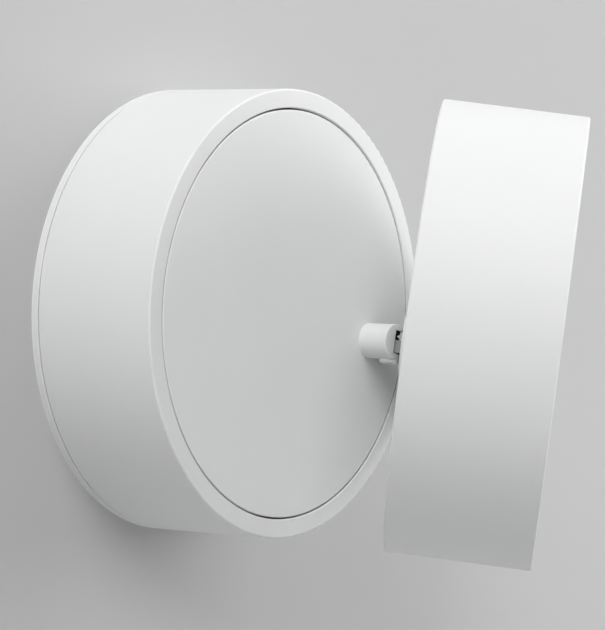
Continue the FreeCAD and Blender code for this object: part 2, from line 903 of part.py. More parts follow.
# ---------------------------------------------------------------- arm
def across_pivot(radius, y_low, y_high):
    """A bar along the tilt axis."""
    return Part.makeCylinder(radius, y_high - y_low, Vector(pivot_x, y_low, pivot_z), UP)


def to_tilt_axis(shape):
    """Lays a shape drawn about the origin's upright axis along the tilt axis."""
    laid = shape.copy()
    laid.rotate(ORIGIN, ACROSS, -90)
    laid.translate(Vector(pivot_x, 0, pivot_z))
    return laid


def knuckle_round():
    """What is cut off the arm's outer corner, so that it is round about the tilt axis."""
    corner = block(
        (pivot_x, arm_radius + arm_diameter),
        middle_span(0, 2 * arm_diameter),
        (pivot_z, arm_top + CUT_MARGIN),
    )
    return corner.cut(across_pivot(arm_over_pivot, -2 * arm_diameter, 2 * arm_diameter))


def pivot_arm():
    body = rod(arm_diameter / 2, disc_front, arm_top, arm_radius)
    body = rounded_rims(body, arm_diameter / 2, arm_top, inner_edge_round)
    body = body.fuse(rod(arm_thread / 2, arm_bottom, disc_front, arm_radius))
    body = body.cut(rod(arm_bore / 2, arm_bottom - CUT_MARGIN, slot_floor + CUT_MARGIN, arm_radius))
    body = body.cut(knuckle_round())
    slot = block(
        (slot_side, arm_radius + arm_diameter),
        middle_span(0, slot_width),
        (slot_floor, arm_top + CUT_MARGIN),
    )
    body = body.cut(slot)
    body = body.cut(across_pivot(pivot_diameter / 2 + thread_gap, -arm_diameter, pivot_screw_end + face_gap))
    seat = across_pivot(pivot_head_diameter / 2 + running_gap, -arm_diameter, -pivot_head_seat)
    return body.cut(seat).removeSplitter()


def arm_washer():
    return ring(arm_washer_diameter / 2, arm_thread / 2 + running_gap, disc_back - arm_washer_thickness,
                disc_back, arm_radius)


def arm_nut():
    top = disc_back - arm_washer_thickness
    nut = hexagon_bar(arm_nut_flats, arm_nut_bottom, top, arm_radius)
    return nut.cut(hole(arm_thread / 2 + thread_gap, arm_nut_bottom, top, arm_radius))


def pivot_screw():
    head_end = -pivot_head_seat - pivot_head_height
    head = across_pivot(pivot_head_diameter / 2, head_end, -pivot_head_seat)
    outer_rim = [edge for edge in head.Edges
                 if isinstance(edge.Curve, Part.Circle) and abs(edge.Curve.Center.y - head_end) < 0.001]
    head = head.makeFillet(pivot_head_round, outer_rim)
    socket = to_tilt_axis(hexagon_bar(pivot_socket_flats, head_end - CUT_MARGIN, head_end + pivot_socket_depth))
    shank = across_pivot(pivot_diameter / 2, -pivot_head_seat, pivot_screw_end)
    return head.fuse(shank).cut(socket)


def friction_washer():
    high = tongue_low - face_gap
    washer = ring(tongue_eye_diameter / 2, pivot_diameter / 2 + running_gap,
                  high - friction_washer_thickness, high)
    return to_tilt_axis(washer)


def tilt_springs():
    """The springs over the tongue that load the tilt joint's friction."""
    pair = spring_pair(tongue_eye_diameter / 2, pivot_diameter / 2 + running_gap, tilt_spring_thickness,
                       tilt_spring_rise, tongue_high + face_gap)
    return [to_tilt_axis(spring) for spring in pair]


def lead_lamp_swivel():
    """Up the spindle, out through its notch, along the web and up into the arm."""
    return lead("lead_lamp_swivel", lamp_lead_diameter, [
        (0, 0, lead_split_height + lead_split_gap / 2),
        (0, 0, lead_run_height),
        (arm_radius, 0, lead_run_height),
        (arm_radius, 0, slot_floor - lead_split_gap),
    ])


# ---------------------------------------------------------------- head
def boss_screw_places():
    half = boss_screw_spacing / 2
    return [(pivot_x, -half), (pivot_x, half)]


def knuckle_tongue():
    """A round boss on the head's back that carries the tongue with its eye on the tilt axis."""
    body = rod(boss_diameter / 2, boss_face, head_back, pivot_x)
    body = rounded_rims(body, boss_diameter / 2, boss_face, outer_edge_round)
    spigot_end = head_back + boss_spigot_depth
    body = body.fuse(rod(boss_spigot_diameter / 2, head_back, spigot_end, pivot_x, tongue_middle))
    body = body.fuse(across_pivot(tongue_eye_diameter / 2, tongue_low, tongue_high))
    stem_x = middle_span(pivot_x, tongue_eye_diameter)
    body = body.fuse(block(stem_x, (tongue_low, tongue_high), (pivot_z, head_back)))
    body = body.cut(across_pivot(pivot_diameter / 2 + running_gap, -arm_diameter, arm_diameter))
    body = body.cut(rod(tongue_bore / 2, pivot_z + tongue_bore_floor, spigot_end + CUT_MARGIN,
                        pivot_x, tongue_middle))
    for x, y in boss_screw_places():
        body = body.cut(rod(boss_screw_diameter / 2 + thread_gap, head_back - boss_screw_grip - face_gap,
                            head_back + CUT_MARGIN, x, y))
    return body.removeSplitter()


def boss_screws():
    tip = head_back - boss_screw_grip
    return [screw(boss_screw_diameter, boss_screw_head, boss_screw_head_height, head_floor, tip, x, y)
            for x, y in boss_screw_places()]


def head_housing():
    slope_foot = ledge_height - (inner_radius - ledge_radius) - 2 * side_wall
    slope_head = slope_foot + inner_radius - ledge_radius
    profile = [
        (0, head_back),
        (drum_radius, head_back),
        (drum_radius, head_front),
        (mouth_radius, head_front),
        (mouth_radius, ledge_height),
        (ledge_radius, ledge_height),
        (ledge_radius, slope_head),
        (inner_radius, slope_foot),
        (inner_radius, head_floor),
        (0, head_floor),
    ]
    drum = turned(profile)
    drum = rounded_rims(drum, drum_radius, head_back, outer_edge_round)
    drum = rounded_rims(drum, drum_radius, head_front, outer_edge_round)
    drum = rounded_rims(drum, mouth_radius, head_front, inner_edge_round)
    for angle in pillar_angles:
        x, y = on_circle(pillar_circle, angle)
        pillar = rod(pillar_diameter / 2, head_floor, sink_back, x, y)
        drum = drum.fuse(pillar)
        drum = drum.cut(rod(small_screw_diameter / 2 + thread_gap, sink_back - pillar_screw_depth - face_gap,
                            sink_back + CUT_MARGIN, x, y))
    drum = drum.cut(hole(boss_spigot_diameter / 2 + face_gap, head_back, head_floor, pivot_x, tongue_middle))
    for x, y in boss_screw_places():
        drum = drum.cut(hole(boss_screw_diameter / 2 + running_gap, head_back, head_floor, x, y))
    return drum.removeSplitter()


def heat_sink():
    plate = rod(sink_radius, sink_back, sink_front)
    fin_low = sink_back - sink_fin_height
    fin_round = rod(sink_fin_circle / 2, fin_low, sink_back)
    pitch = (sink_fin_circle - 2 * sink_fin_thickness) / (sink_fin_count - 1)
    for number in range(sink_fin_count):
        x = (number - (sink_fin_count - 1) / 2) * pitch
        fin = block(middle_span(x, sink_fin_thickness), middle_span(0, sink_fin_circle), (fin_low, sink_back))
        plate = plate.fuse(fin.common(fin_round))
    for angle in pillar_angles:
        x, y = on_circle(pillar_circle, angle)
        plate = plate.cut(hole(small_screw_diameter / 2 + running_gap, sink_back, sink_front, x, y))
    for x, y in holder_screw_places():
        plate = plate.cut(hole(holder_screw_diameter / 2 + thread_gap, sink_back, sink_front, x, y))
    return plate.cut(hole(sink_lead_hole / 2, sink_back, sink_front, sink_lead_place)).removeSplitter()


def heat_sink_screws():
    tip = sink_back - pillar_screw_depth
    places = [on_circle(pillar_circle, angle) for angle in pillar_angles]
    return [screw(small_screw_diameter, small_screw_head, small_screw_head_height, sink_front, tip, x, y)
            for x, y in places]


def holder_screw_places():
    half = holder_screw_spacing / 2
    return [(0, -half), (0, half)]


def led_board():
    board = rod(led_board_diameter / 2, sink_front, board_front)
    for x, y in holder_screw_places():
        board = board.cut(hole(holder_screw_diameter / 2 + running_gap, sink_front, board_front, x, y))
    return board


def led_emitter():
    top = board_front + emitter_thickness
    return block(middle_span(0, emitter_side), middle_span(0, emitter_side), (board_front, top))


def led_phosphor():
    low = board_front + emitter_thickness
    return rod(phosphor_diameter / 2, low, low + phosphor_thickness)


def led_holder():
    body = rod(led_board_diameter / 2, board_front, holder_front)
    body = rounded_rims(body, led_board_diameter / 2, holder_front, outer_edge_round)
    pocket_side = emitter_side + 4 * face_gap
    pocket = block(
        middle_span(0, pocket_side),
        middle_span(0, pocket_side),
        (board_front - CUT_MARGIN, board_front + emitter_thickness + face_gap),
    )
    body = body.cut(pocket).cut(hole(holder_window / 2, board_front, holder_front))
    for x, y in holder_screw_places():
        body = body.cut(hole(holder_screw_diameter / 2 + running_gap, board_front, holder_front, x, y))
        body = body.cut(rod(holder_screw_head / 2 + running_gap, holder_front - holder_screw_head_height,
                            holder_front + CUT_MARGIN, x, y))
    return body


def holder_screws():
    seat = holder_front - holder_screw_head_height
    tip = sink_back + face_gap
    return [screw(holder_screw_diameter, holder_screw_head, holder_screw_head_height, seat, tip, x, y)
            for x, y in holder_screw_places()]


def reflector():
    """A shallow dish from the emitter out to the gasket, one wall thick."""
    mouth = reflector_mouth / 2
    flange_inner = ledge_radius - reflector_flange
    flange_outer = ledge_radius - running_gap
    low = holder_front
    high = ledge_height
    middle_radius = (mouth + flange_inner) / 2
    middle_height = low + (high - low) * 0.36
    inner_arc = Part.Arc(Vector(mouth, 0, low), Vector(middle_radius, 0, middle_height),
                         Vector(flange_inner, 0, high))
    drop = reflector_wall
    outer_arc = Part.Arc(
        Vector(flange_inner, 0, high - drop),
        Vector(middle_radius + drop / 3, 0, middle_height - drop),
        Vector(mouth + 2 * drop, 0, low),
    )
    corners = [
        Vector(flange_inner, 0, high),
        Vector(flange_outer, 0, high),
        Vector(flange_outer, 0, high - drop),
        Vector(flange_inner, 0, high - drop),
    ]
    edges = [inner_arc.toShape()]
    edges += [Part.LineSegment(start, end).toShape() for start, end in zip(corners, corners[1:])]
    edges.append(outer_arc.toShape())
    edges.append(Part.LineSegment(Vector(mouth + 2 * drop, 0, low), Vector(mouth, 0, low)).toShape())
    return Part.Face(Part.Wire(edges)).revolve(ORIGIN, OUT, 360)


def lens_gasket():
    return ring(mouth_radius - thread_gap, ledge_radius - gasket_overhang, ledge_height, lens_back)


def front_lens():
    lens = rod(mouth_radius - lens_gap, lens_back, lens_front)
    return rounded_rims(lens, mouth_radius - lens_gap, lens_front, inner_edge_round)


def lens_bezel():
    outer = mouth_radius - thread_gap
    inner = outer - bezel_width
    top = lens_front + bezel_thickness
    return rounded_rims(ring(outer, inner, lens_front, top), inner, top, inner_edge_round)


def lead_lamp_head():
    """Out of the tongue, through the heat sink and in to the side of the emitter's holder."""
    board_lead_height = board_front + lamp_lead_radius + face_gap
    holder_side = led_board_diameter / 2
    return lead("lead_lamp_head", lamp_lead_diameter, [
        (pivot_x, tongue_middle, pivot_z + tongue_bore_floor + lead_split_gap),
        (pivot_x, tongue_middle, head_floor + head_lead_rise),
        (sink_lead_place, 0, sink_back - head_lead_drop),
        (sink_lead_place, 0, board_lead_height),
        (holder_side + face_gap, 0, board_lead_height),
    ])


# ---------------------------------------------------------------- bodies
BASE = [
    wall_plate, cable_grommet, base_housing, housing_grub_screws, glide_washers,
    driver_case, driver_lid, driver_board, driver_transformer, driver_capacitors, driver_screws,
    terminal_block, terminal_clamps, terminal_screws, terminal_fixings, earth_tag, earth_screw,
    lead_live, lead_neutral, lead_earth, lead_lamp_base,
]
SWIVEL = [
    swivel_disc, hub_spindle, spindle_screws, disc_springs, hub_washer, hub_nut, stop_pin,
    pivot_arm, arm_washer, arm_nut, pivot_screw, friction_washer, tilt_springs, lead_lamp_swivel,
]
HEAD = [
    head_housing, knuckle_tongue, boss_screws, heat_sink, heat_sink_screws, led_board, led_emitter,
    led_phosphor, led_holder, holder_screws, reflector, lens_gasket, front_lens, lens_bezel, lead_lamp_head,
]


def one_shape(piece):
    """A single solid as it is, or a group of like solids as one compound."""
    if isinstance(piece, list):
        return Part.makeCompound(piece)
    return piece


def at_rest(shape, tilts, swivels):
    placed = shape.copy()
    if tilts:
        placed.rotate(Vector(pivot_x, 0, pivot_z), UP, head_tilt)
    if swivels:
        placed.rotate(ORIGIN, OUT, arm_angle)
    placed.rotate(ORIGIN, ACROSS, 90)
    return placed


def main():
    os.makedirs("parts", exist_ok=True)
    for makers, tilts, swivels in ((BASE, False, False), (SWIVEL, False, True), (HEAD, True, True)):
        for maker in makers:
            shape = at_rest(one_shape(maker()), tilts, swivels)
            if not shape.isValid():
                print("not valid:", maker.__name__)
            shape.exportStep(os.path.join("parts", maker.__name__ + ".step"))
    print("written", len(BASE) + len(SWIVEL) + len(HEAD))


main()
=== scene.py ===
"""Finish, light and camera for a pivoting spotlight on a wall.

The exact model comes in as a fixed frame: X runs right along the wall, -Y out
of the wall, Z up, and the origin is the middle of the wall plate's back.
Everything here is in metres.
"""
import json
import math

import bpy
import numpy as np
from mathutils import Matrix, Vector


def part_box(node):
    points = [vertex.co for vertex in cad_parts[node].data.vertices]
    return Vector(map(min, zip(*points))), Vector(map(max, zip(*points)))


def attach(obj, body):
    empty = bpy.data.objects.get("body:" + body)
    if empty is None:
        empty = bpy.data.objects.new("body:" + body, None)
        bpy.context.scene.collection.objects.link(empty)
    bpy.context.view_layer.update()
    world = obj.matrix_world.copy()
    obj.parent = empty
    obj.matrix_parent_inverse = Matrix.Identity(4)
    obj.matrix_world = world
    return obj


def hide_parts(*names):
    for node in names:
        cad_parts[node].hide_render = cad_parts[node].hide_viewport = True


bl_info = {
    "name": "Pivoting Wall Spotlight",
    "version": (1, 0, 0),
    "blender": (4, 5, 0),
    "location": "3D View > Sidebar > Spotlight",
    "description": "Finishes, ringed diffuser, light and camera for a pivoting wall spotlight",
    "category": "Object",
}

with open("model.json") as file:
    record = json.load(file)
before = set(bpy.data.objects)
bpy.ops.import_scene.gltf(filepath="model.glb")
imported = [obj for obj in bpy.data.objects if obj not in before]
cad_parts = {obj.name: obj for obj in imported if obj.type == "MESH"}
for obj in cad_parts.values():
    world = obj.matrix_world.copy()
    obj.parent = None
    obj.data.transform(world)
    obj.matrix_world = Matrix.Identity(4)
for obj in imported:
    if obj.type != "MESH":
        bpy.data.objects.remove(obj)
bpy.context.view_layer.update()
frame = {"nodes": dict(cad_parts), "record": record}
NODES = frame["nodes"]

MM = 0.001

# Edges sharper than this stay crisp, and points nearer than this are one.
CREASE = math.radians(28)
MERGE_DISTANCE = 0.002 * MM
FACE_AREA_WEIGHT = 100

# The diffuser: rows of points for each ring, steps round the axis, and the rim without rings.
RING_ROWS = 6
LENS_SEGMENTS = 192
LENS_PLAIN_RIM = 4 * MM

# The coat: size of its clouding, its two tones, and the width, painted highlight tone and gloss of its rims.
COAT_CLOUD_SIZE = 45 * MM
COAT_CLOUD_TONES = (0.985, 1.01)
COAT_GRAIN_TONE = 0.97
COAT_GRAIN_SHARE = 0.5
COAT_ROUGHNESS_SPREAD = 0.03
RIM_WIDTH = 1.1 * MM
RIM_HIGHLIGHT_TONE = 1.16
RIM_POLISH = 0.25

# The tongue in the arm's slot: the dark grey metal painted on it as painted shade, and how far from the pivot
# that painted shade reaches.
SLOT_SHADE_TONE = (0.30, 0.30, 0.31)
SLOT_SHADE_REACH = 6.5 * MM
SLOT_SHADE_INNER_SHARE = 0.9

# Scales of the noise that breaks up the rims and the turned rings, in 1/m.
RIM_PATCH_SCALE = 90.0
RING_WOBBLE_SCALE = 60.0

# The studio: the sheets' span, the gap behind the plate, and where each soft box hangs
# and how wide it is. All the boxes look at the target.
WALL_SPAN = 6.0
WALL_GAP = 0.05 * MM
CLEAR_RAY = 5 * WALL_GAP
LIGHT_TARGET = (0.0, -0.05, 0.0)
KEY_PLACE = (-2.2, -1.6, 2.8)
TOP_PLACE = (1.3, -2.0, 3.0)
SIDE_PLACE = (1.6, -1.4, 0.6)
BACK_PLACE = (-0.8, 3.2, 1.8)
BIG_BOX = 2.4
SMALL_BOX = 1.6

# The photograph's width in pixels, and the camera that was fitted to the drums' outlines in it.
PHOTO_WIDTH = 605
CAMERA_PLACE = (-0.7505, -0.5945, 0.0475)
CAMERA_YAW = math.radians(53.795)
CAMERA_PITCH = math.radians(-2.943)
CAMERA_FOCAL_PIXELS = 3358.3
CAMERA_SENSOR = 36.0
HALF_PIXEL = 0.5
CAMERA_CLIP = (0.01, 50.0)


# ------------------------------------------------------------------ measuring the frame
def node_points(name):
    """All corner points of a frame node, as rows of x, y, z."""
    mesh = NODES[name].data
    places = np.zeros(len(mesh.vertices) * 3, np.float32)
    mesh.vertices.foreach_get("co", places)
    return places.reshape(-1, 3).astype(float)


def node_middle(name):
    """The middle of a frame node's box."""
    low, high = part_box(name)
    return np.array((low + high) / 2)


class TurningAxis:
    """A centre line: a point on it, its direction, and two directions square to it."""

    def __init__(self, start, direction):
        self.start = np.array(start, float)
        self.along = np.array(direction, float) / np.linalg.norm(direction)
        upright = np.array((0.0, 0.0, 1.0))
        self.side = np.cross(self.along, upright)
        self.side /= np.linalg.norm(self.side)
        self.up = np.cross(self.side, self.along)

    def span(self, name):
        """Lowest and highest distance of a node's points along the line."""
        heights = (node_points(name) - self.start) @ self.along
        return heights.min(), heights.max()

    def radius(self, name):
        """Largest distance of a node's points from the line."""
        offset = node_points(name) - self.start
        across = offset - np.outer(offset @ self.along, self.along)
        return np.linalg.norm(across, axis=1).max()


BASE_AXIS = TurningAxis((0, 0, 0), (0, -1, 0))
LIGHT_POINT = node_middle("led_phosphor")
HEAD_AXIS = TurningAxis(LIGHT_POINT, node_middle("front_lens") - LIGHT_POINT)


# ------------------------------------------------------------------ settings
class SpotlightCoat(bpy.types.PropertyGroup):
    """The white powder coat on the cast and pressed pieces."""

    colour: bpy.props.FloatVectorProperty(
        name="Colour", description="Colour of the powder coat", subtype="COLOR",
        size=3, min=0.0, max=1.0, default=(0.795, 0.80, 0.798))
    roughness: bpy.props.FloatProperty(
        name="Roughness", description="How matt the coat is", subtype="FACTOR", min=0.0, max=1.0, default=0.62)
    grain: bpy.props.FloatProperty(
        name="Grain size", description="Distance between two grains of the coat", subtype="DISTANCE",
        unit="LENGTH", min=0.0001, max=0.002, default=0.00045)
    grain_depth: bpy.props.FloatProperty(
        name="Grain depth", description="Height of the grains", subtype="DISTANCE",
        unit="LENGTH", min=0.0, max=0.0002, default=0.000012)
    # Strength of the painted highlight along the rims: they are painted lighter and glossier.
    wear: bpy.props.FloatProperty(
        name="Edge wear", description="How far the coat is rubbed thin along the rims", subtype="FACTOR",
        min=0.0, max=1.0, default=0.35)


class SpotlightLens(bpy.types.PropertyGroup):
    """The diffuser in the head's mouth."""

    colour: bpy.props.FloatVectorProperty(
        name="Colour", description="Colour of the diffuser", subtype="COLOR",
        size=3, min=0.0, max=1.0, default=(0.76, 0.765, 0.76))
    ring_pitch: bpy.props.FloatProperty(
        name="Ring pitch", description="Distance between two of the diffuser's fine rings", subtype="DISTANCE",
        unit="LENGTH", min=0.001, max=0.01, default=0.0016)
    ring_depth: bpy.props.FloatProperty(
        name="Ring depth", description="Depth of the diffuser's fine rings", subtype="DISTANCE",
        unit="LENGTH", min=0.0, max=0.0005, default=0.00007)


class SpotlightStage(bpy.types.PropertyGroup):
    """The wall, the floor and the light of the studio."""

    wall_colour: bpy.props.FloatVectorProperty(
        name="Wall colour", description="Colour of the wall behind the lamp", subtype="COLOR",
        size=3, min=0.0, max=1.0, default=(0.545, 0.545, 0.548))
    floor_drop: bpy.props.FloatProperty(
        name="Floor drop", description="How far the floor lies below the lamp", subtype="DISTANCE",
        unit="LENGTH", min=0.1, max=3.0, default=1.1)
    key_power: bpy.props.FloatProperty(
        name="Key light", description="Power of the soft box high on the left", subtype="POWER",
        unit="POWER", min=0.0, max=500.0, default=106.0)
    top_power: bpy.props.FloatProperty(
        name="Top light", description="Power of the soft box high on the right", subtype="POWER",
        unit="POWER", min=0.0, max=500.0, default=14.0)
    side_power: bpy.props.FloatProperty(
        name="Side light", description="Power of the soft box on the right", subtype="POWER",
        unit="POWER", min=0.0, max=500.0, default=27.0)
    back_power: bpy.props.FloatProperty(
        name="Back light", description="Power of the soft box behind the wall, for a look at the plate's back",
        subtype="POWER", unit="POWER", min=0.0, max=500.0, default=110.0)
    room_light: bpy.props.FloatProperty(
        name="Room light", description="Strength of the even light of the room", min=0.0, max=5.0, default=0.33)


# ------------------------------------------------------------------ turned surfaces
def ringed_disc(radius, back, front, plain_rim, pitch, depth):
    """Outline of a disc with fine rings on its front, from the back's middle to the front's.

    The front's height at radius r is front - depth (1 - cos(2 pi r / pitch)) / 2
    inside the plain rim, and front outside it.
    """
    reach = pitch * math.floor((radius - plain_rim) / pitch)
    step = pitch / RING_ROWS
    rows = np.arange(reach, step / 2, -step)
    relief = depth * (1 - np.cos(2 * math.pi * rows / pitch)) / 2
    outer = [(0.0, back), (radius, back), (radius, front)]
    return np.concatenate([outer, np.stack([rows, front - relief], -1), [(0.0, front)]])


def turned_surface(name, axis, outline, segments):
    """A closed surface of revolution of an outline that starts and ends on the axis.

    Point (i, j) is start + r_i cos a_j side + r_i sin a_j up + h_i along, with
    a_j = 2 pi j / segments, and each end of the outline is one point.
    """
    angles = np.linspace(0, 2 * math.pi, segments, endpoint=False)
    ring = np.cos(angles)[:, None] * axis.side + np.sin(angles)[:, None] * axis.up
    rim = outline[1:-1]
    points = (axis.start + rim[:, None, :1] * ring[None] + rim[:, None, 1:] * axis.along).reshape(-1, 3)
    poles = axis.start + outline[[0, -1], 1:] * axis.along
    first_pole, last_pole = len(points), len(points) + 1
    around = np.arange(segments)
    ahead = (around + 1) % segments
    rows = np.arange(len(rim) - 1)[:, None] * segments
    quads = np.stack([rows + around, rows + ahead, rows + segments + ahead, rows + segments + around], -1)
    last_row = (len(rim) - 1) * segments
    start = np.stack([np.full(segments, first_pole), ahead, around], -1)
    end = np.stack([np.full(segments, last_pole), last_row + around, last_row + ahead], -1)
    faces = quads.reshape(-1, 4).tolist() + start.tolist() + end.tolist()
    return surface(name, np.concatenate([points, poles]), faces)


def surface(name, points, faces):
    """A smooth mesh object from points and faces, with its faces turned outwards."""
    mesh = bpy.data.meshes.new(name)
    mesh.from_pydata(points.tolist(), [], faces)
    mesh.update()
    if signed_volume(mesh) < 0:
        mesh.flip_normals()
    mesh.shade_smooth()
    mesh.set_sharp_from_angle(angle=CREASE)
    piece = bpy.data.objects.new(name, mesh)
    bpy.context.scene.collection.objects.link(piece)
    return piece


def signed_volume(mesh):
    """Sum over triangles of a . (b x c) / 6, which is positive where faces point outwards."""
    mesh.calc_loop_triangles()
    corners = np.zeros(len(mesh.loop_triangles) * 3, np.int32)
    mesh.loop_triangles.foreach_get("vertices", corners)
    places = np.zeros(len(mesh.vertices) * 3, np.float32)
    mesh.vertices.foreach_get("co", places)
    a, b, c = places.reshape(-1, 3)[corners.reshape(-1, 3)].astype(float).transpose(1, 0, 2)
    return float(np.einsum("ij,ij->i", a, np.cross(b, c)).sum() / 6)


# ------------------------------------------------------------------ smooth looks on frame nodes
def soft_shading():
    """A modifier tree that joins a node's loose triangles and shades all but its real edges smoothly."""
    tree = bpy.data.node_groups.get("soft_shading")
    if tree:
        return tree
    tree = bpy.data.node_groups.new("soft_shading", "GeometryNodeTree")
    tree.is_modifier = True
    tree.interface.new_socket("Geometry", in_out="INPUT", socket_type="NodeSocketGeometry")
    tree.interface.new_socket("Geometry", in_out="OUTPUT", socket_type="NodeSocketGeometry")
    start = tree.nodes.new("NodeGroupInput")
    end = tree.nodes.new("NodeGroupOutput")
    join = tree.nodes.new("GeometryNodeMergeByDistance")
    join.inputs["Distance"].default_value = MERGE_DISTANCE
    faces = tree.nodes.new("GeometryNodeSetShadeSmooth")
    faces.domain = "FACE"
    edges = tree.nodes.new("GeometryNodeSetShadeSmooth")
    edges.domain = "EDGE"
    edges.inputs["Shade Smooth"].default_value = False
    angle = tree.nodes.new("GeometryNodeInputMeshEdgeAngle")
    crease = tree.nodes.new("FunctionNodeCompare")
    crease.data_type = "FLOAT"
    crease.operation = "GREATER_THAN"
    crease.inputs["B"].default_value = CREASE
    tree.links.new(angle.outputs["Unsigned Angle"], crease.inputs["A"])
    tree.links.new(crease.outputs["Result"], edges.inputs["Selection"])
    tree.links.new(start.outputs[0], join.inputs["Geometry"])
    tree.links.new(join.outputs["Geometry"], faces.inputs["Geometry"])
    tree.links.new(faces.outputs["Geometry"], edges.inputs["Geometry"])
    tree.links.new(edges.outputs["Geometry"], end.inputs[0])
    return tree


def finish_node(name, material):
    """Gives a frame node its material and smooth shading."""
    node = NODES[name]
    paint(node, material)
    smooth = node.modifiers.new("soft_shading", "NODES")
    smooth.node_group = soft_shading()
    weighted = node.modifiers.new("large_faces_lead", "WEIGHTED_NORMAL")
    weighted.mode = "FACE_AREA"
    weighted.weight = FACE_AREA_WEIGHT
    weighted.keep_sharp = True


def paint(piece, material):
    """The material is the piece's only one."""
    piece.data.materials.clear()
    piece.data.materials.append(material)


def stand_for(piece, node, body):
    """A new piece takes a frame node's place and body: the node is hidden and the piece rides with the body."""
    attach(piece, body)
    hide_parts(node)


# ------------------------------------------------------------------ shared effects
def effect_group(name, inputs, outputs):
    """An empty shader group; inputs are (name, type, default) and outputs are (name, type)."""
    group = bpy.data.node_groups.new(name, "ShaderNodeTree")
    for socket_name, kind, default in inputs:
        socket = group.interface.new_socket(socket_name, in_out="INPUT", socket_type=kind)
        socket.default_value = default
    for socket_name, kind in outputs:
        group.interface.new_socket(socket_name, in_out="OUTPUT", socket_type=kind)
    return group, group.nodes.new("NodeGroupInput"), group.nodes.new("NodeGroupOutput")


def feed(tree, socket, value):
    """Sets an input socket to a number, or links it to another socket."""
    if isinstance(value, (int, float)):
        socket.default_value = value
    else:
        tree.links.new(value, socket)


def math_node(tree, operation, *values):
    """A math node; each value is a number or a socket."""
    node = tree.nodes.new("ShaderNodeMath")
    node.operation = operation
    for socket, value in zip(node.inputs, values):
        feed(tree, socket, value)
    return node.outputs[0]


def vector_node(tree, operation, *sockets):
    """A vector math node that works on other nodes' sockets."""
    node = tree.nodes.new("ShaderNodeVectorMath")
    node.operation = operation
    for number, socket in enumerate(sockets):
        tree.links.new(socket, node.inputs[number])
    return node


def object_places(tree):
    """The place of the shaded point on its object, in metres."""
    return tree.nodes.new("ShaderNodeTexCoord").outputs["Object"]


def ranged(tree, value, low, high, to_low=0.0, to_high=1.0):
    """value from low..high mapped to to_low..to_high and held there."""
    node = tree.nodes.new("ShaderNodeMapRange")
    node.clamp = True
    for name, number in (("From Min", low), ("From Max", high), ("To Min", to_low), ("To Max", to_high)):
        feed(tree, node.inputs[name], number)
    tree.links.new(value, node.inputs["Value"])
    return node.outputs["Result"]


def noise(tree, places, scale, detail=2.0, roughness=0.5):
    """Noise between 0 and 1; the scale is a number or a socket."""
    node = tree.nodes.new("ShaderNodeTexNoise")
    node.inputs["Detail"].default_value = detail
    node.inputs["Roughness"].default_value = roughness
    feed(tree, node.inputs["Scale"], scale)
    tree.links.new(places, node.inputs["Vector"])
    return node.outputs["Fac"]


def grain_group():
    """Fine grain and slow clouding, for powder coat, moulded plastic and rubber."""
    if "fine_grain" in bpy.data.node_groups:
        return bpy.data.node_groups["fine_grain"]
    group, start, end = effect_group(
        "fine_grain",
        [("Grain Size", "NodeSocketFloat", 0.0005), ("Cloud Size", "NodeSocketFloat", 0.03)],
        [("Height", "NodeSocketFloat"), ("Grain", "NodeSocketFloat"), ("Cloud", "NodeSocketFloat")])
    places = object_places(group)
    grain_scale = math_node(group, "DIVIDE", 1.0, start.outputs["Grain Size"])
    cloud_scale = math_node(group, "DIVIDE", 1.0, start.outputs["Cloud Size"])
    grain = noise(group, places, grain_scale, detail=3.0, roughness=0.55)
    cloud = noise(group, places, cloud_scale, detail=4.0)
    group.links.new(grain, end.inputs["Height"])
    group.links.new(ranged(group, grain, 0.3, 0.7), end.inputs["Grain"])
    group.links.new(ranged(group, cloud, 0.3, 0.7), end.inputs["Cloud"])
    return group


def rim_group():
    """How near a point is to a round rim: sqrt((r - R)^2 + (h - H)^2) against a varied width.

    Centre and Along give the turning axis, R and H are the rim's radius and height
    on it, and noise varies the width. The mask places the painted highlight on the rims.
    """
    if "painted_rim_highlight" in bpy.data.node_groups:
        return bpy.data.node_groups["painted_rim_highlight"]
    group, start, end = effect_group(
        "painted_rim_highlight",
        [("Centre", "NodeSocketVector", (0, 0, 0)), ("Along", "NodeSocketVector", (0, 0, 1)),
         ("Rim Radius", "NodeSocketFloat", 0.06), ("Rim Height", "NodeSocketFloat", 0.04),
         ("Width", "NodeSocketFloat", 0.0006)],
        [("Mask", "NodeSocketFloat")])
    places = object_places(group)
    offset = vector_node(group, "SUBTRACT", places, start.outputs["Centre"]).outputs["Vector"]
    height = vector_node(group, "DOT_PRODUCT", offset, start.outputs["Along"]).outputs["Value"]
    length = vector_node(group, "LENGTH", offset).outputs["Value"]
    squared = math_node(group, "MULTIPLY", length, length)
    height_squared = math_node(group, "MULTIPLY", height, height)
    across_squared = math_node(group, "SUBTRACT", squared, height_squared)
    radius = math_node(group, "SQRT", math_node(group, "MAXIMUM", across_squared, 0.0))
    off_radius = math_node(group, "SUBTRACT", radius, start.outputs["Rim Radius"])
    off_height = math_node(group, "SUBTRACT", height, start.outputs["Rim Height"])
    off_radius_squared = math_node(group, "MULTIPLY", off_radius, off_radius)
    off_height_squared = math_node(group, "MULTIPLY", off_height, off_height)
    apart = math_node(group, "SQRT", math_node(group, "ADD", off_radius_squared, off_height_squared))
    spots = noise(group, places, RIM_PATCH_SCALE, detail=5.0, roughness=0.65)
    patches = ranged(group, spots, 0.42, 0.62)
    width = math_node(group, "MULTIPLY", start.outputs["Width"], patches)
    group.links.new(ranged(group, apart, 0.0, width, 1.0, 0.0), end.inputs["Mask"])
    return group


